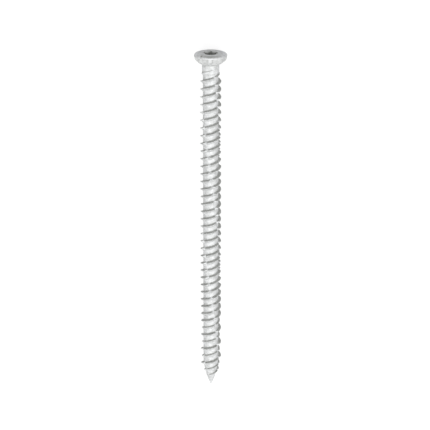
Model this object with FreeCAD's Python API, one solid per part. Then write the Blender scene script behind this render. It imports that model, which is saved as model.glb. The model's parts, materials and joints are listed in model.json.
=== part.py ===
"""Concrete screw with a flat, bowl-shaped head and a notched two-start thread.

The screw is one solid of zinc plated steel. It is modelled upright, with its
point at z = 0 and its head up, and then laid down as it comes to rest: on the
rim of its head and on the crest of its thread near the point. Millimetres.
"""
import FreeCAD
import Part
import math
import os

# Overall length, from the top of the head to the point
LENGTH = 132.0

# Head: a flat top with a worn edge, widest at the rim. Insets are from the head's widest
HEAD_DIAMETER = 12.0
TOP_INSET = 1.0
EDGE_INSET = 0.2
EDGE_DROP = 0.4
RIM_HEIGHT = 0.9

# Bowl under the rim, by drops below the rim, down to the neck
SHOULDER_INSET = 0.3
SHOULDER_DROP = 1.4
WAIST_INSET = 0.95
WAIST_DROP = 2.2
BOWL_DROP = 3.3

# Milling pockets in the bowl, which leave ribs between them
POCKET_COUNT = 8
POCKET_WIDTH_ANGLE = 27.0
POCKET_FIRST_ANGLE = 19.5
POCKET_TOP_INSET = 0.5
POCKET_TOP_DROP = 0.15
POCKET_FOOT_INSET = 1.5
POCKET_FOOT_DROP = 2.55

# Six-lobe drive socket, size 30
SOCKET_LOBE_COUNT = 6
SOCKET_ACROSS_LOBES = 5.6
SOCKET_ACROSS_HOLLOWS = 3.95
SOCKET_LOBE_RADIUS = 0.45
SOCKET_DEPTH = 2.6
SOCKET_CONE_DEPTH = 0.7
SOCKET_CHAMFER = 0.25

# Shank: plain neck, threaded core, tapered end of the core, and point
NECK_DIAMETER = 6.2
NECK_END = 6.95
NECK_TAPER = 1.2
CORE_DIAMETER = 5.6
CORE_TAPER_LENGTH = 5.5
POINT_LENGTH = 4.0
POINT_BASE_DIAMETER = 3.2
POINT_TIP_DIAMETER = 0.3

# Thread: two starts, right handed, a steep flank to the head, a sloped one to the point
START_COUNT = 2
PITCH = 2.95
CREST_DIAMETER = 7.7
LOW_CREST_DIAMETER = 6.8
LOW_CREST_LENGTH = 30.0
CREST_WIDTH = 0.18
HEAD_FLANK_RUN = 0.28
POINT_FLANK_RUN = 0.72
FIRST_CREST_DROP = 7.55
RUN_IN_START = 4.95
RUN_IN_LENGTH = 5.5
RUN_OUT_LENGTH = 3.2

# V notches across the thread, in lines that wind slowly round the screw
NOTCH_LINE_COUNT = 3
NOTCH_DRIFT_ANGLE = 7.1
NOTCH_FIRST_ANGLE = 20.0
NOTCH_WIDTH_ANGLE = 30.0

# How many flat spans draw the thread from one notch to the next
TOOTH_SPAN_COUNT = 8

# Corners of the thread are rounded to this many decimals, so that the ones they share agree
DECIMAL_COUNT = 6

# How deep the neck and the point run on into the threaded rod, to be joined to it
JOINT_DEPTH = 0.07
POINT_JOINT_LENGTH = 1.5

FRONT_ANGLE = -90.0
AXIS = FreeCAD.Vector(0, 0, 1)
ORIGIN = FreeCAD.Vector(0, 0, 0)

HEAD_RADIUS = HEAD_DIAMETER / 2
NECK_RADIUS = NECK_DIAMETER / 2
CORE_RADIUS = CORE_DIAMETER / 2
CREST_RADIUS = CREST_DIAMETER / 2
POINT_BASE_RADIUS = POINT_BASE_DIAMETER / 2
LEAD = PITCH * START_COUNT
ROD_TOP = round(LENGTH - RUN_IN_START, DECIMAL_COUNT)
ROD_BOTTOM = round(POINT_LENGTH / 2, DECIMAL_COUNT)

# Along one start, neighbouring notches are this far apart
TOOTH_ANGLE = (360.0 - START_COUNT * NOTCH_DRIFT_ANGLE) / NOTCH_LINE_COUNT


def polar(radius, angle, z=0.0):
    """A point by its radius, its angle in degrees from the x axis, and its height."""
    turn = math.radians(angle)
    return FreeCAD.Vector(radius * math.cos(turn), radius * math.sin(turn), z)


def profile_face(corners):
    """The flat face inside a half profile, given by radii and drops below the head's top."""
    points = [FreeCAD.Vector(radius, 0, LENGTH - drop) for radius, drop in corners]
    return Part.Face(Part.makePolygon(points + points[:1]))


def share(x, low, high):
    """How far x has come on the way from low to high, as a share between 0 and 1."""
    return min(max((x - low) / (high - low), 0.0), 1.0)


def head_and_neck():
    """The head's rim and bowl with the plain neck, its taper ending inside the rod."""
    return profile_face([
        (0, 0),
        (HEAD_RADIUS - TOP_INSET, 0),
        (HEAD_RADIUS - EDGE_INSET, EDGE_DROP),
        (HEAD_RADIUS, RIM_HEIGHT),
        (HEAD_RADIUS - SHOULDER_INSET, RIM_HEIGHT + SHOULDER_DROP),
        (HEAD_RADIUS - WAIST_INSET, RIM_HEIGHT + WAIST_DROP),
        (NECK_RADIUS, RIM_HEIGHT + BOWL_DROP),
        (NECK_RADIUS, NECK_END),
        (CORE_RADIUS - JOINT_DEPTH, NECK_END + NECK_TAPER),
        (0, NECK_END + NECK_TAPER),
    ]).revolve(ORIGIN, AXIS, 360)


def point():
    """The plain point, its base running on into the rod."""
    base = POINT_LENGTH + POINT_JOINT_LENGTH
    return profile_face([
        (0, LENGTH - base),
        (core_radius(base) - JOINT_DEPTH, LENGTH - base),
        (POINT_BASE_RADIUS, LENGTH - POINT_LENGTH),
        (POINT_TIP_DIAMETER / 2, LENGTH),
        (0, LENGTH),
    ]).revolve(ORIGIN, AXIS, 360)


def pockets():
    """The milling pockets as solids to cut away, each open to the side of the head."""
    outside = HEAD_RADIUS + POCKET_TOP_INSET
    top = RIM_HEIGHT + POCKET_TOP_DROP
    foot = RIM_HEIGHT + POCKET_FOOT_DROP
    pocket = profile_face([
        (HEAD_RADIUS - POCKET_TOP_INSET, top),
        (outside, top),
        (outside, foot),
        (HEAD_RADIUS - POCKET_FOOT_INSET, foot),
    ]).revolve(ORIGIN, AXIS, POCKET_WIDTH_ANGLE)
    copies = []
    for i in range(POCKET_COUNT):
        copy = pocket.copy()
        start = FRONT_ANGLE + POCKET_FIRST_ANGLE - POCKET_WIDTH_ANGLE / 2
        copy.rotate(ORIGIN, AXIS, start + i * 360.0 / POCKET_COUNT)
        copies.append(copy)
    return copies


def socket():
    """The drive socket as a solid to cut away: a lobed prism, its cone and its chamfer."""
    lobe_reach = SOCKET_ACROSS_LOBES / 2
    hollow_reach = SOCKET_ACROSS_HOLLOWS / 2
    half_step = 180.0 / SOCKET_LOBE_COUNT
    lobe_centre = lobe_reach - SOCKET_LOBE_RADIUS
    along = lobe_centre * math.cos(math.radians(half_step))
    # This radius makes each hollow meet its two lobes smoothly
    hollow_radius = (SOCKET_LOBE_RADIUS ** 2 - lobe_centre ** 2 - hollow_reach ** 2
                     + 2 * along * hollow_reach) / (2 * (hollow_reach - along - SOCKET_LOBE_RADIUS))
    hollow_centre = hollow_reach + hollow_radius
    part_way = SOCKET_LOBE_RADIUS / (SOCKET_LOBE_RADIUS + hollow_radius)
    edges = []
    for i in range(SOCKET_LOBE_COUNT):
        angle = FRONT_ANGLE + i * 2 * half_step
        centre = polar(lobe_centre, angle)
        before = centre + (polar(hollow_centre, angle - half_step) - centre) * part_way
        after = centre + (polar(hollow_centre, angle + half_step) - centre) * part_way
        following = polar(lobe_centre, angle + 2 * half_step)
        hollow_end = following + (polar(hollow_centre, angle + half_step) - following) * part_way
        edges.append(Part.Arc(before, polar(lobe_reach, angle), after).toShape())
        edges.append(Part.Arc(after, polar(hollow_reach, angle + half_step), hollow_end).toShape())
    floor = LENGTH - SOCKET_DEPTH
    prism = Part.Face(Part.Wire(edges)).extrude(FreeCAD.Vector(0, 0, SOCKET_DEPTH + RIM_HEIGHT))
    prism.translate(FreeCAD.Vector(0, 0, floor))
    cone = Part.makeCone(0, hollow_reach, SOCKET_CONE_DEPTH)
    cone.translate(FreeCAD.Vector(0, 0, floor - SOCKET_CONE_DEPTH))
    chamfer = Part.makeCone(lobe_reach - SOCKET_CHAMFER, lobe_reach + SOCKET_CHAMFER, 2 * SOCKET_CHAMFER)
    chamfer.translate(FreeCAD.Vector(0, 0, LENGTH - SOCKET_CHAMFER))
    return prism.multiFuse([cone, chamfer])


def core_radius(z):
    """The radius of the core between the threads at a height. Past its end it hides in the point."""
    taper = share(z, POINT_LENGTH, POINT_LENGTH + CORE_TAPER_LENGTH)
    radius = POINT_BASE_RADIUS + (CORE_RADIUS - POINT_BASE_RADIUS) * taper
    return radius * min(max(z, ROD_BOTTOM) / POINT_LENGTH, 1.0)


def crest_height(line, z):
    """How far a line of crests stands over the core: it grows at the neck and fades at the point."""
    height = CREST_RADIUS - CORE_RADIUS
    if line % START_COUNT == 0:
        lowered = share(LOW_CREST_LENGTH - z, 0, PITCH)
        height -= (CREST_DIAMETER - LOW_CREST_DIAMETER) / 2 * lowered
    grown = share(LENGTH - z, RUN_IN_START, RUN_IN_START + RUN_IN_LENGTH)
    left = share(z, POINT_LENGTH, POINT_LENGTH + RUN_OUT_LENGTH)
    return height * grown * left


def column_turn(column):
    """How far a column of the thread lies past the first line of notches, in degrees."""
    tooth, span = divmod(column, TOOTH_SPAN_COUNT)
    if span == 0:
        return tooth * TOOTH_ANGLE
    wall = NOTCH_WIDTH_ANGLE / 2
    return tooth * TOOTH_ANGLE + wall + (span - 1) * (TOOTH_ANGLE - 2 * wall) / (TOOTH_SPAN_COUNT - 2)


def rod_point(z, angle, height=0.0):
    """A point at a height over the core, kept between the two ends of the rod."""
    z = min(max(z, ROD_BOTTOM), ROD_TOP)
    spot = polar(core_radius(z) + height, FRONT_ANGLE + angle, z)
    return tuple(round(value, DECIMAL_COUNT) for value in spot)


def thread_section(line, column):
    """Foot, crest, crest and foot of the thread where a line of crests meets a column.

    Lines of crests are counted down the left side of the screw. The columns lean with
    the notches, so in the column of a notch the crests are down at their feet.
    """
    angle = NOTCH_FIRST_ANGLE + NOTCH_DRIFT_ANGLE * line + column_turn(column)
    z = LENGTH - FIRST_CREST_DROP - PITCH * line + LEAD * (angle + 90.0) / 360.0
    height = crest_height(line, z)
    grown = height / (CREST_RADIUS - CORE_RADIUS)
    head_edge = z + CREST_WIDTH / 2
    point_edge = z - CREST_WIDTH / 2
    head_foot = rod_point(head_edge + HEAD_FLANK_RUN * grown, angle)
    point_foot = rod_point(point_edge - POINT_FLANK_RUN * grown, angle)
    if height == 0 or column % TOOTH_SPAN_COUNT == 0:
        return [head_foot, head_foot, point_foot, point_foot]
    return [head_foot, rod_point(head_edge, angle, height), rod_point(point_edge, angle, height), point_foot]


def two_triangles(a, b, c, d):
    """The triangles of a quad that aren't squeezed flat or lying across an end of the rod."""
    found = []
    for triangle in ((a, b, c), (a, c, d)):
        heights = set(corner[2] for corner in triangle)
        across_end = heights == {ROD_TOP} or heights == {ROD_BOTTOM}
        if len(set(triangle)) == 3 and not across_end:
            found.append(triangle)
    return found


def end_triangles(triangles):
    """The triangles that close both ends of the rod, from each open edge to the axis."""
    edges = set()
    for a, b, c in triangles:
        edges.update([(a, b), (b, c), (c, a)])
    open_edges = [(a, b) for a, b in edges if (b, a) not in edges]
    return [(b, a, (0.0, 0.0, a[2])) for a, b in open_edges]


def threaded_rod():
    """The core with its notched thread, as a solid of flat triangles."""
    columns = NOTCH_LINE_COUNT * TOOTH_SPAN_COUNT
    first_line = -2 * START_COUNT
    last_line = int(LENGTH / PITCH) + 2 * START_COUNT
    triangles = []
    for line in range(first_line, last_line):
        for column in range(columns):
            left = thread_section(line, column) + thread_section(line + 1, column)[:1]
            right = thread_section(line, column + 1) + thread_section(line + 1, column + 1)[:1]
            for i in range(len(left) - 1):
                triangles += two_triangles(left[i], left[i + 1], right[i + 1], right[i])
    triangles += end_triangles(triangles)
    corners = sorted(set(corner for triangle in triangles for corner in triangle))
    number = dict((corner, i) for i, corner in enumerate(corners))
    facets = [tuple(number[corner] for corner in triangle) for triangle in triangles]
    surface = Part.Shape()
    surface.makeShapeFromMesh(([FreeCAD.Vector(*corner) for corner in corners], facets), 0.0001)
    return Part.Solid(Part.Shell(surface.Faces))


def lay_down(shape):
    """Lay the upright screw on the ground: head along +Y, its front up, centred on the origin.

    It leans on the lower edge of the head's rim and on the last crest that reaches as low.
    """
    rim = LENGTH - RIM_HEIGHT
    leans = [math.atan2(HEAD_RADIUS - vertex.Y, rim - vertex.Z)
             for vertex in shape.Vertexes if vertex.Z < LENGTH / 2]
    shape.rotate(ORIGIN, FreeCAD.Vector(1, 0, 0), -90 + math.degrees(min(leans)))
    box = shape.optimalBoundingBox(False, False)
    shape.translate(FreeCAD.Vector(-box.Center.x, -box.Center.y, -box.ZMin))
    return shape


def concrete_screw():
    """The whole screw as one solid, laid down."""
    head = head_and_neck().cut(pockets() + [socket()])
    body = threaded_rod().multiFuse([head, point()])
    return lay_down(body.Solids[0])


os.makedirs("parts", exist_ok=True)
screw = concrete_screw()
screw.exportStep("parts/concrete_screw.step")
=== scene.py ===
"""Looks of the concrete screw: a finely meshed screw, matte zinc, and a plain pale studio."""

import json
import math

import bpy
import numpy as np
from mathutils import Matrix, Vector


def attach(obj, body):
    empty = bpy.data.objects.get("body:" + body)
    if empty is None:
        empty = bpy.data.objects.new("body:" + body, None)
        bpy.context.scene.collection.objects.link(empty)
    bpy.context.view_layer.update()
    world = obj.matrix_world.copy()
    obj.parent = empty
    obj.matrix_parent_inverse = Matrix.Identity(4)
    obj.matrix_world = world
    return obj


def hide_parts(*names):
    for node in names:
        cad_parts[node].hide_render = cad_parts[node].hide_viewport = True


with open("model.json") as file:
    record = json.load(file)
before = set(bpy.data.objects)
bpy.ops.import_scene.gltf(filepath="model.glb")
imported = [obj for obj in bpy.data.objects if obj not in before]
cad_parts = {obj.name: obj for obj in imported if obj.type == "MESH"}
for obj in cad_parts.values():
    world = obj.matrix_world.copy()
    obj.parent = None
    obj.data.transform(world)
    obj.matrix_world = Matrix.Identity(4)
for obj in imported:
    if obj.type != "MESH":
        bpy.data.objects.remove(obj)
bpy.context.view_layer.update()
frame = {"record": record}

MM = 0.001

# Sizes are in millimetres: drops down from the head's top, heights up from the tip
# Angles are in degrees from the front, towards the right
LENGTH = 132.0

# Head, with its edge and bowl as drop and radius
HEAD_COLUMNS = 180
EDGE = [(0.0, 4.7), (0.02, 4.92), (0.07, 5.12), (0.15, 5.34), (0.25, 5.54), (0.36, 5.71), (0.48, 5.83),
        (0.62, 5.92), (0.78, 5.975), (0.9, 5.995)]
BOWL = [(0.9, 6.0), (1.5, 5.89), (2.0, 5.77), (2.35, 5.65), (2.7, 5.40), (3.1, 4.97), (4.0, 3.42),
        (4.25, 3.1)]
FLAT_RINGS = [4.4, 3.8, 3.3, 2.95, 2.86]

# Milling pockets, with the line of their floor as drop and radius
POCKET_COUNT = 8
POCKET_WIDTH_ANGLE = 27.0
POCKET_FIRST_ANGLE = 19.5
POCKET_FLOOR = [(1.05, 5.5), (3.45, 4.5)]
STEEP_WALL_ANGLE = 3.5
GENTLE_WALL_ANGLE = 12.0

# Small nick in the head's front edge
NICK_ANGLE = -38.0
NICK_DROP = 0.22
NICK_DEPTH = 0.25
NICK_HALF_ANGLE = 3.0
NICK_HALF_HEIGHT = 0.173

# Socket
LOBE_COUNT = 6
LOBE_REACH = 2.8
HOLLOW_REACH = 1.975
LOBE_RADIUS = 0.45
SOCKET_DEPTH = 2.6
SOCKET_CONE_DEPTH = 0.7
SOCKET_CHAMFER = 0.25

# Neck, core and point
NECK_RADIUS = 3.1
NECK_END = 6.95
NECK_TAPER = 1.2
NECK_SINK = 0.1
NECK_OVERLAP = 0.3
CORE_RADIUS = 2.8
CORE_TAPER_LENGTH = 5.5
POINT_LENGTH = 4.0
POINT_COLUMNS = 36
POINT_RINGS = [0.85, 0.5, 0.28, 0.14, 0.05]

# The core as height and radius
TAPER_TOP = POINT_LENGTH + CORE_TAPER_LENGTH
CORE = [(0.0, 0.0), (0.25, 0.17), (POINT_LENGTH - 0.4, 1.44), (POINT_LENGTH + 0.4, 1.69),
        (TAPER_TOP - 1.0, 2.60), (TAPER_TOP + 0.8, CORE_RADIUS)]

# Thread
START_COUNT = 2
PITCH = 2.95
LEAD = START_COUNT * PITCH
CREST_RADIUS = 3.85
THREAD_HEIGHT = CREST_RADIUS - CORE_RADIUS
LOW_CREST_RADIUS = 3.4
LOW_CREST_LENGTH = 30.0
FIRST_CREST_DROP = 7.55
RUN_IN_START = 4.95
RUN_IN_LENGTH = 5.5
RUN_OUT_LENGTH = 3.2
ROD_TOP = LENGTH - RUN_IN_START
ROD_BOTTOM = 1.0
CORNER = 0.02
CREST_UNEVENNESS = 0.025

# The low ridge where the first turn starts on the neck
FIRST_RIDGE = 0.16
FIRST_RIDGE_DROP = RUN_IN_START + 0.3
FIRST_RIDGE_RISE = 0.6
FIRST_RIDGE_GAP = 0.3

# Lines of notches across the crests
NOTCH_LINE_COUNT = 3
NOTCH_DRIFT = 7.1
NOTCH_FIRST = 20.0
NOTCH_HALF_ANGLE = 15.0
NOTCH_FLOOR = 0.02
NOTCH_UNEVENNESS = 0.12
TOOTH_ANGLE = (360.0 - START_COUNT * NOTCH_DRIFT) / NOTCH_LINE_COUNT

# Columns of the mesh beside a notch, as degrees from its middle, and columns between them
NOTCH_COLUMNS = [0.0, 2.0, 4.5, 7.0, 9.5, 12.0, 14.0, 16.0]
MIDDLE_COLUMN_COUNT = 18

# The thread's section, as distance from the crest towards the head and share of its height
RIDGE = [(1.25, 0.0), (0.75, 0.0), (0.50, 0.015), (0.39, 0.08), (0.32, 0.26), (0.25, 0.52),
         (0.18, 0.80), (0.12, 0.95), (0.05, 1.0), (-0.03, 1.0), (-0.09, 0.96), (-0.16, 0.86),
         (-0.25, 0.69), (-0.37, 0.49), (-0.52, 0.30), (-0.70, 0.14), (-0.92, 0.045),
         (-1.16, 0.01), (-1.45, 0.0)]

# Painted shading in the colour: 0 is plain, above 0 is painted shade, and below 0 is a painted highlight
# Along the thread's section the painted shade is deepest on the steep flank, which faces the head, away from
# the light
FLANK_PAINTED_SHADE = [(-1.45, 0.0), (0.02, 0.0), (0.14, 0.8), (0.36, 1.0), (0.50, 0.5), (0.70, 0.0), (1.25, 0.0)]
FLANK_PAINTED_SHADE_FROM = 0.4
# Painted shade on the head's front edge, turning to a painted highlight lower down, and a painted highlight
# on its sides
FRONT_EDGE_PAINTED_SHADING = [(0.0, 0.45), (0.07, 0.75), (0.25, 0.75), (0.48, -0.3), (0.9, -0.6)]
SIDE_EDGE_PAINTED_HIGHLIGHT = -0.6
SIDE_EDGE_DROP = 0.5
# Painted shade in the nick
NICK_PAINTED_SHADE = 2.5
# Painted highlight over the flat top
TOP_PAINTED_HIGHLIGHT = -0.3
# Painted shade inside the socket
SOCKET_PAINTED_SHADE = 0.85
# Light painted shade under the head
UNDERSIDE_PAINTED_SHADE = 0.25


def waves(a, b):
    """A smooth made-up unevenness between about -1 and 1 over two numbers."""
    return (np.sin(1.3 * a + 2.1 * b) + np.sin(2.9 * a - 1.7 * b + 1.0)
            + np.sin(0.6 * a + 4.3 * b + 2.0)) / 3


def blended_max(a, b):
    """The larger of two heights, with the corner between them rounded."""
    return b + CORNER * np.logaddexp(0, (a - b) / CORNER)


def ramp(distance, length):
    """A share that climbs from 0 to 1 over a length."""
    return np.clip(distance / length, 0, 1)


def eased(share):
    """A share with soft ends."""
    return share * share * (3 - 2 * share)


def profile(points, spot):
    """The value of a profile at a spot, read between its points."""
    return np.interp(spot, [place for place, value in points], [value for place, value in points])


def crest_height(line, z):
    """How far a line of crests stands over the core: it grows at the neck and fades at the point."""
    lowered = ramp(LOW_CREST_LENGTH - z, PITCH) * (line % START_COUNT == 0)
    height = THREAD_HEIGHT - (CREST_RADIUS - LOW_CREST_RADIUS) * lowered
    grown = ramp(LENGTH - z - RUN_IN_START, RUN_IN_LENGTH)
    left = ramp(z - POINT_LENGTH, RUN_OUT_LENGTH)
    return height * grown * left


def notch_height(line, turn):
    """How high the walls of the nearest notch let the thread stand."""
    offset = (turn + TOOTH_ANGLE / 2) % TOOTH_ANGLE - TOOTH_ANGLE / 2
    nearest = np.floor(turn / TOOTH_ANGLE + 0.5)
    half_angle = NOTCH_HALF_ANGLE * (1 + NOTCH_UNEVENNESS * waves(line * 1.7, nearest * 2.3))
    return THREAD_HEIGHT * np.abs(offset) / half_angle + NOTCH_FLOOR


def neck_radius(drop, ridge, limit):
    """The neck with its taper to the core, and the low ridge of the first turn on it."""
    taper = eased(ramp(drop - NECK_END, NECK_TAPER))
    neck = NECK_RADIUS - (NECK_RADIUS - CORE_RADIUS + NECK_SINK) * taper
    raised = ramp(drop - FIRST_RIDGE_DROP, FIRST_RIDGE_RISE) * ramp(limit, FIRST_RIDGE_GAP)
    return neck + FIRST_RIDGE * raised * ridge


def shank(line, ridge, turn, z):
    """The radius of the shank, and how much of the flank's painted shade shows there."""
    drop = LENGTH - z
    crest = crest_height(line, z)
    limit = notch_height(line, turn)
    uneven = 1 + CREST_UNEVENNESS * waves(line * 0.9, turn * 0.05)
    height = -blended_max(-crest * uneven * ridge, -limit)
    height = np.where(ridge * crest > 0.001, np.maximum(height, 0), 0)
    radius = profile(CORE, z) + height
    near_neck = drop < NECK_END + NECK_TAPER + NECK_OVERLAP
    radius = np.where(near_neck, blended_max(radius, neck_radius(drop, ridge, limit)), radius)
    # Share of the flank's painted shade, less where the crest is low or notched
    shade_share = ramp(crest, FLANK_PAINTED_SHADE_FROM * THREAD_HEIGHT) * ramp(limit, THREAD_HEIGHT)
    return radius, shade_share


def thread_columns():
    """How far each column of the thread lies past the first line of notches, in degrees."""
    edge = NOTCH_COLUMNS[-1]
    middle = np.linspace(edge, TOOTH_ANGLE - edge, MIDDLE_COLUMN_COUNT + 1)[1:-1]
    last = [TOOTH_ANGLE - angle for angle in reversed(NOTCH_COLUMNS[1:])]
    tooth = np.array([*NOTCH_COLUMNS, *middle, *last])
    return np.concatenate([tooth + i * TOOTH_ANGLE for i in range(NOTCH_LINE_COUNT)])


def thread_rows():
    """The line of crests, place, share of the height and painted shade of each row of the thread."""
    rows = []
    for line in range(-2 * START_COUNT - 1, int(LENGTH / PITCH) + 2 * START_COUNT):
        for offset, share in RIDGE:
            rows.append((line, line - offset / PITCH, share, profile(FLANK_PAINTED_SHADE, offset)))
    return np.array(rows).T[:, :, None]


def thread_spot(place, turn):
    """The angle and height of a point, by its place along the crest lines and its column."""
    angle = NOTCH_FIRST + NOTCH_DRIFT * place + turn
    z = LENGTH - FIRST_CREST_DROP - PITCH * place + LEAD * (angle + 90.0) / 360.0
    return angle, z


def place_at(z, turn):
    """The place along the crest lines at which a column reaches a height."""
    per_line = LEAD * NOTCH_DRIFT / 360.0 - PITCH
    return (z - thread_spot(0.0, turn)[1]) / per_line


def in_order(ring, angle):
    """The points and angles of a ring by angle, with the first point once more at the end."""
    turn = angle % 360
    order = np.argsort(turn)
    return [*ring[order], ring[order[0]]], [*turn[order], turn[order[0]] + 360]


class Surface:
    """Points and faces of one closed surface, gathered ring by ring."""

    def __init__(self):
        self.points = []
        self.faces = []
        self.painted_shading = []

    def add(self, radius, angle, z, painted_shading=0.0):
        """Add points by radius, angle from the front and height, and return their numbers."""
        turn = np.radians(angle)
        spots = np.broadcast_arrays(radius * np.sin(turn), -radius * np.cos(turn), z, painted_shading)
        spots = np.stack(spots, axis=-1).reshape(-1, 4)
        first = len(self.points)
        self.points.extend(spots[:, :3].tolist())
        self.painted_shading.extend(spots[:, 3].tolist())
        return np.arange(first, len(self.points))

    def join(self, corners):
        """Add a face without the corners that fall together."""
        kept = [corner for i, corner in enumerate(corners) if corner != corners[i - 1]]
        if len(kept) > 2:
            self.faces.append(kept)

    def join_rings(self, upper, lower):
        """Faces between two rings of as many points each."""
        for i in range(len(upper)):
            self.join([upper[i - 1], lower[i - 1], lower[i], upper[i]])

    def join_unlike_rings(self, upper, upper_angle, lower, lower_angle):
        """Faces between two rings of different numbers of points, walking round both."""
        upper, upper_angle = in_order(upper, upper_angle)
        lower, lower_angle = in_order(lower, lower_angle)
        i = 0
        j = 0
        while i < len(upper) - 1 or j < len(lower) - 1:
            lower_done = j == len(lower) - 1
            upper_done = i == len(upper) - 1
            if lower_done or (not upper_done and upper_angle[i + 1] <= lower_angle[j + 1]):
                self.join([upper[i], lower[j], upper[i + 1]])
                i += 1
            else:
                self.join([upper[i], lower[j], lower[j + 1]])
                j += 1

    def join_columns(self, numbers):
        """Faces between the thread's columns, of which the last meets the first a turn further on."""
        back = START_COUNT * len(RIDGE)
        for i in range(back, len(numbers) - 1):
            row = [*numbers[i], numbers[i - back][0]]
            below = [*numbers[i + 1], numbers[i - back + 1][0]]
            for j in range(len(row) - 1):
                self.join([row[j], below[j], below[j + 1], row[j + 1]])

    def close(self, ring, middle):
        """Faces from a ring to one point in its middle."""
        for i in range(len(ring)):
            self.join([ring[i - 1], middle, ring[i]])


def build_thread(surface):
    """The shank from the neck to near the tip, and the points and angles of its two end rings."""
    turn = thread_columns()
    line, place, ridge, painted_shading = thread_rows()
    top = place_at(ROD_TOP, turn)
    bottom = place_at(ROD_BOTTOM, turn)
    angle, z = thread_spot(np.clip(place, top, bottom), turn)
    radius, shade_share = shank(line, ridge, turn, z)
    # The steep flanks carry painted shade in the colour
    numbers = surface.add(radius, angle, z, painted_shading * shade_share).reshape(radius.shape)
    columns = np.arange(len(turn))
    last_at_top = (place <= top).sum(axis=0) - 1
    first_at_bottom = len(place) - (place >= bottom).sum(axis=0)
    top_ring = numbers[last_at_top, columns]
    bottom_ring = numbers[first_at_bottom, columns]
    numbers = np.where(place <= top, top_ring, np.where(place >= bottom, bottom_ring, numbers))
    surface.join_columns(numbers.tolist())
    return top_ring, angle[last_at_top, columns], bottom_ring, angle[first_at_bottom, columns]


def underside_radius(drop, angle):
    """The bowl under the rim, with the milling pockets cut into it."""
    bowl = profile(BOWL, drop)
    step = 360.0 / POCKET_COUNT
    offset = (angle - POCKET_FIRST_ANGLE + step / 2) % step - step / 2
    half = POCKET_WIDTH_ANGLE / 2
    steep = ramp(half + offset + STEEP_WALL_ANGLE / 2, STEEP_WALL_ANGLE)
    gentle = ramp(half - offset + GENTLE_WALL_ANGLE / 2, GENTLE_WALL_ANGLE)
    within = POCKET_FLOOR[0][0] <= drop <= POCKET_FLOOR[-1][0]
    cut = eased(np.minimum(steep, gentle)) * within
    return bowl - np.maximum(bowl - profile(POCKET_FLOOR, drop), 0) * cut


def socket_radius(angle):
    """The outline of the six-lobe socket, made of lobes and hollows that touch without a corner."""
    half_step = 180.0 / LOBE_COUNT
    half_turn = math.radians(half_step)
    centre = LOBE_REACH - LOBE_RADIUS
    along = centre * math.cos(half_turn)
    hollow_radius = ((LOBE_RADIUS ** 2 - centre ** 2 - HOLLOW_REACH ** 2 + 2 * along * HOLLOW_REACH)
                     / (2 * (HOLLOW_REACH - along - LOBE_RADIUS)))
    hollow_centre = HOLLOW_REACH + hollow_radius
    offset = np.radians(np.abs((angle + half_step) % (2 * half_step) - half_step))
    lobe = centre * np.cos(offset) + np.sqrt(np.maximum(LOBE_RADIUS ** 2 - (centre * np.sin(offset)) ** 2, 0))
    from_hollow = half_turn - offset
    inside = np.maximum(hollow_radius ** 2 - (hollow_centre * np.sin(from_hollow)) ** 2, 0)
    hollow = hollow_centre * np.cos(from_hollow) - np.sqrt(inside)
    share = LOBE_RADIUS / (LOBE_RADIUS + hollow_radius)
    meet_x = centre + (hollow_centre * math.cos(half_turn) - centre) * share
    meet_y = hollow_centre * math.sin(half_turn) * share
    return np.where(offset < math.atan2(meet_y, meet_x), lobe, hollow)


def nick(angle, drop):
    """How much of the small nick in the head's edge is at a spot, as a share."""
    across = ((angle - NICK_ANGLE + 180) % 360 - 180) / NICK_HALF_ANGLE
    down = (drop - NICK_DROP) / NICK_HALF_HEIGHT
    return np.exp(-across ** 2 - down ** 2)


def underside_rings(angle):
    """Rings from the neck over the bowl to the rim, closer together where the pockets end."""
    drops = [4.7, 4.5, 4.35, *np.arange(4.25, 1.1, -0.1), 1.09, 1.055, 1.045, 0.97]
    # The underside carries a light painted shade
    return [(underside_radius(drop, angle), drop, UNDERSIDE_PAINTED_SHADE) for drop in drops]


def edge_rings(angle):
    """Rings over the head's edge, nicked, with painted shade and a painted highlight at the front and a
    painted highlight at the sides, and over its flat top.
    """
    front = np.clip(np.cos(np.radians(angle)), 0, 1) ** 4
    side = np.sin(np.radians(angle)) ** 2
    rings = []
    for drop, radius in reversed(EDGE):
        mark = nick(angle, drop)
        # Painted shade and highlight on the front of the edge, painted highlight on its sides
        painted_edge_light = front * profile(FRONT_EDGE_PAINTED_SHADING, drop) + side * SIDE_EDGE_PAINTED_HIGHLIGHT * (drop < SIDE_EDGE_DROP)
        # The nick dents the edge and carries painted shade
        rings.append((radius - NICK_DEPTH * mark, drop, NICK_PAINTED_SHADE * mark + painted_edge_light))
    # The flat top carries a painted highlight
    return rings + [(radius, 0.0, TOP_PAINTED_HIGHLIGHT) for radius in FLAT_RINGS]


def socket_rings(angle):
    """Rings from the socket's chamfered mouth down its wall and over its conical floor."""
    outline = socket_radius(angle)
    rings = []
    for share in (0.05, 0.35, 0.7, 1.0):
        radius = np.maximum(outline, LOBE_REACH - SOCKET_CHAMFER * share)
        rings.append((radius, LOBE_REACH - radius + 0.01, 0.0))
    step = np.minimum(SOCKET_CHAMFER, LOBE_REACH - outline)
    rings.append((outline + 0.03, step + 0.02, 0.0))
    # The socket's wall and floor carry painted shade
    rings.append((outline, step + 0.06, SOCKET_PAINTED_SHADE))
    for drop in (0.6, 1.1, 1.6, 2.1, SOCKET_DEPTH - 0.1):
        rings.append((outline, drop, SOCKET_PAINTED_SHADE))
    for share in (0.97, 0.85, 0.6, 0.3):
        rings.append((outline * share, SOCKET_DEPTH + SOCKET_CONE_DEPTH * (1 - share), SOCKET_PAINTED_SHADE))
    return rings


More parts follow.
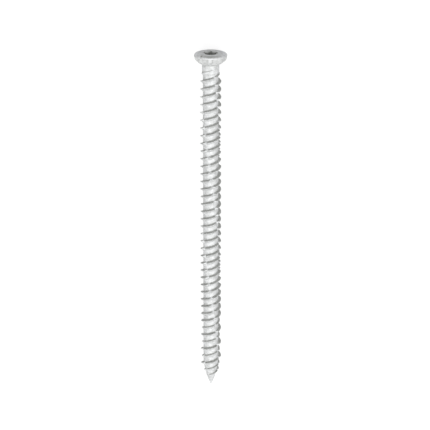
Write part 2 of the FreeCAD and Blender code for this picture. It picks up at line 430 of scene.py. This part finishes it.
def build_head(surface, top_ring, top_angle):
    """The head with its rim and socket, from the neck's ring to the middle of the socket's floor."""
    angle = np.arange(HEAD_COLUMNS) * 360.0 / HEAD_COLUMNS
    previous = None
    for radius, drop, painted_shading in underside_rings(angle) + edge_rings(angle) + socket_rings(angle):
        ring = surface.add(radius, angle, LENGTH - drop, painted_shading)
        if previous is None:
            surface.join_unlike_rings(ring, angle, top_ring, top_angle)
        else:
            surface.join_rings(ring, previous)
        previous = ring
    floor = surface.add(0.0, 0.0, LENGTH - SOCKET_DEPTH - SOCKET_CONE_DEPTH, SOCKET_PAINTED_SHADE)
    surface.close(previous[::-1], floor[0])


def build_point(surface, bottom_ring, bottom_angle):
    """The end of the point below the thread's last ring."""
    angle = np.arange(POINT_COLUMNS) * 360.0 / POINT_COLUMNS
    previous = None
    for z in POINT_RINGS:
        ring = surface.add(profile(CORE, z), angle, z)
        if previous is None:
            surface.join_unlike_rings(bottom_ring, bottom_angle, ring, angle)
        else:
            surface.join_rings(previous, ring)
        previous = ring
    tip = surface.add(0.0, 0.0, 0.0)
    surface.close(previous, tip[0])


def placement():
    """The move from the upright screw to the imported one, and its long and front directions."""
    mount = [m for m in frame["record"]["mounts"] if m["name"] == "head_top"][0]
    along = Vector(mount["axis"]).normalized()
    right = Vector((1, 0, 0))
    front = right.cross(along)
    top = Vector(mount["pos_m"])
    top.x = 0
    turn = Matrix((right, -front, along)).transposed().to_4x4()
    return Matrix.Translation(top - along * LENGTH * MM) @ turn, along, front


def build_screw():
    """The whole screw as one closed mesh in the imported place."""
    surface = Surface()
    top_ring, top_angle, bottom_ring, bottom_angle = build_thread(surface)
    build_head(surface, top_ring, top_angle)
    build_point(surface, bottom_ring, bottom_angle)
    used = sorted(set(corner for face in surface.faces for corner in face))
    number = {corner: i for i, corner in enumerate(used)}
    faces = [[number[corner] for corner in face] for face in surface.faces]
    points = np.array(surface.points)[used] * MM
    mesh = bpy.data.meshes.new("screw")
    mesh.from_pydata(points.tolist(), [], faces)
    # This attribute carries painted shade and painted highlights into the colour
    mesh.attributes.new("painted_shading", "FLOAT", "POINT").data.foreach_set("value", np.array(surface.painted_shading)[used])
    mesh.transform(placement()[0])
    mesh.validate()
    mesh.shade_smooth()
    mesh.set_sharp_from_angle(angle=math.radians(38))
    screw = bpy.data.objects.new("screw", mesh)
    bpy.context.scene.collection.objects.link(screw)
    return screw


def add_noise(tree, coordinates, scale, detail):
    """A noise texture on the screw, as the socket of its grey value."""
    texture = tree.nodes.new("ShaderNodeTexNoise")
    texture.inputs["Scale"].default_value = scale
    texture.inputs["Detail"].default_value = detail
    tree.links.new(coordinates.outputs["Object"], texture.inputs["Vector"])
    return texture.outputs["Fac"]


def add_bump(tree, height, strength, depth):
    """A bump node over a grey value, with its depth in metres."""
    bump = tree.nodes.new("ShaderNodeBump")
    bump.inputs["Strength"].default_value = strength
    bump.inputs["Distance"].default_value = depth
    tree.links.new(height, bump.inputs["Height"])
    return bump


def zinc_colour(tree, cloud):
    """A cloudy pale grey, darker with painted shade and lighter with painted highlights from the mesh's
    attribute.
    """
    colour = tree.nodes.new("ShaderNodeValToRGB")
    colour.color_ramp.elements[0].position = 0.35
    colour.color_ramp.elements[0].color = (0.64, 0.65, 0.65, 1)
    colour.color_ramp.elements[1].position = 0.65
    colour.color_ramp.elements[1].color = (0.82, 0.83, 0.84, 1)
    tree.links.new(cloud, colour.inputs["Fac"])
    painted_shading = tree.nodes.new("ShaderNodeAttribute")
    painted_shading.attribute_name = "painted_shading"
    darkened = tree.nodes.new("ShaderNodeMix")
    darkened.data_type = "RGBA"
    darkened.blend_type = "MULTIPLY"
    darkened.clamp_factor = False
    # Painted shade multiplies the colour towards this grey, and values below 0 paint a highlight
    darkened.inputs["B"].default_value = (0.66, 0.66, 0.63, 1)
    tree.links.new(painted_shading.outputs["Fac"], darkened.inputs["Factor"])
    tree.links.new(colour.outputs["Color"], darkened.inputs["A"])
    return darkened.outputs["Result"]


def zinc():
    """Matte bright zinc on rolled steel, with soft dents and a fine grain."""
    material = bpy.data.materials.new("zinc")
    material.use_nodes = True
    tree = material.node_tree
    shader = tree.nodes["Principled BSDF"]
    shader.inputs["Metallic"].default_value = 0.5
    coordinates = tree.nodes.new("ShaderNodeTexCoord")
    cloud = add_noise(tree, coordinates, scale=900.0, detail=5.0)
    grain = add_noise(tree, coordinates, scale=2600.0, detail=4.0)
    tree.links.new(zinc_colour(tree, cloud), shader.inputs["Base Color"])
    rough = tree.nodes.new("ShaderNodeMapRange")
    rough.inputs["To Min"].default_value = 0.50
    rough.inputs["To Max"].default_value = 0.66
    tree.links.new(grain, rough.inputs["Value"])
    tree.links.new(rough.outputs["Result"], shader.inputs["Roughness"])
    dents = add_bump(tree, cloud, strength=0.5, depth=0.00012)
    grains = add_bump(tree, grain, strength=0.4, depth=0.00003)
    tree.links.new(dents.outputs["Normal"], grains.inputs["Normal"])
    tree.links.new(grains.outputs["Normal"], shader.inputs["Normal"])
    return material


def floor_material():
    """A plain pale floor that shows white to the camera and keeps the shadow."""
    seen_glow = 0.82
    reflected_glow = 0.48
    material = bpy.data.materials.new("floor")
    material.use_nodes = True
    nodes = material.node_tree.nodes
    links = material.node_tree.links
    shader = nodes["Principled BSDF"]
    shader.inputs["Base Color"].default_value = (0.25, 0.25, 0.25, 1)
    shader.inputs["Roughness"].default_value = 0.9
    shader.inputs["Emission Color"].default_value = (1, 1, 1, 1)
    rays = nodes.new("ShaderNodeLightPath")
    reflected = nodes.new("ShaderNodeMath")
    reflected.operation = "MULTIPLY"
    reflected.inputs[1].default_value = reflected_glow
    links.new(rays.outputs["Is Glossy Ray"], reflected.inputs[0])
    strength = nodes.new("ShaderNodeMath")
    strength.operation = "MULTIPLY_ADD"
    strength.inputs[1].default_value = seen_glow
    links.new(rays.outputs["Is Camera Ray"], strength.inputs[0])
    links.new(reflected.outputs["Value"], strength.inputs[2])
    links.new(strength.outputs["Value"], shader.inputs["Emission Strength"])
    return material


def build_floor():
    """A wide round floor under the screw."""
    radius = 1.5
    steps = 64
    turns = [2 * math.pi * i / steps for i in range(steps)]
    rim = [(radius * math.cos(turn), radius * math.sin(turn), 0.0) for turn in turns]
    mesh = bpy.data.meshes.new("floor")
    mesh.from_pydata(rim, [], [list(range(steps))])
    floor = bpy.data.objects.new("floor", mesh)
    bpy.context.scene.collection.objects.link(floor)
    floor.data.materials.append(floor_material())


def build_tent():
    """A soft white tent all round, dimmer from the head's end and a little from the tip's."""
    world = bpy.data.worlds.new("tent")
    bpy.context.scene.world = world
    world.use_nodes = True
    nodes = world.node_tree.nodes
    links = world.node_tree.links
    background = nodes["Background"]
    background.inputs["Color"].default_value = (1.0, 1.0, 0.99, 1)
    coordinates = nodes.new("ShaderNodeTexCoord")
    split = nodes.new("ShaderNodeSeparateXYZ")
    links.new(coordinates.outputs["Generated"], split.inputs["Vector"])
    place = nodes.new("ShaderNodeMapRange")
    place.inputs["From Min"].default_value = -1.0
    links.new(split.outputs["Y"], place.inputs["Value"])
    shade = nodes.new("ShaderNodeFloatCurve")
    curve = shade.mapping.curves[0]
    curve.points[0].location = (0.0, 0.60)
    curve.points[1].location = (1.0, 0.40)
    curve.points.new(0.45, 1.0)
    curve.points.new(0.85, 0.38)
    shade.mapping.update()
    links.new(place.outputs["Result"], shade.inputs["Value"])
    links.new(shade.outputs["Value"], background.inputs["Strength"])


def build_softbox():
    """A wide softbox over the screw, a little towards its tip."""
    lamp = bpy.data.lights.new("softbox", "AREA")
    lamp.shape = "RECTANGLE"
    lamp.size = 2.0
    lamp.size_y = 0.5
    lamp.energy = 5.0
    softbox = bpy.data.objects.new("softbox", lamp)
    softbox.location = (0.08, -0.28, 0.87)
    softbox.rotation_euler = (-softbox.location).to_track_quat("-Z", "Y").to_euler()
    bpy.context.scene.collection.objects.link(softbox)


def build_camera():
    """The photograph's view: down on the screw from its front, a little from the head's side."""
    pixels = 430
    focal_pixels = 1608.5
    seen_x = 210.8
    seen_y = 224.8
    distance = 0.600
    elevation = math.radians(20.5)
    move, along, front = placement()
    middle = move @ Vector((0, 0, LENGTH * MM / 2))
    towards = front * math.cos(elevation) + along * math.sin(elevation)
    right = Vector((1, 0, 0))
    up = towards.cross(right)
    per_pixel = distance / focal_pixels
    shift = right * (pixels / 2 - seen_x) * per_pixel + up * (seen_y - pixels / 2) * per_pixel
    data = bpy.data.cameras.new("camera")
    data.sensor_width = 36.0
    data.lens = focal_pixels / pixels * data.sensor_width
    data.clip_start = 0.01
    camera = bpy.data.objects.new("camera", data)
    turn = Matrix((right, up, towards)).transposed().to_4x4()
    camera.matrix_world = Matrix.Translation(middle + towards * distance + shift) @ turn
    bpy.context.scene.collection.objects.link(camera)
    bpy.context.scene.camera = camera


screw = build_screw()
screw.data.materials.append(zinc())
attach(screw, "root")
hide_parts("concrete_screw")

build_floor()
build_tent()
build_softbox()
build_camera()
bpy.context.scene.view_settings.view_transform = "Standard"
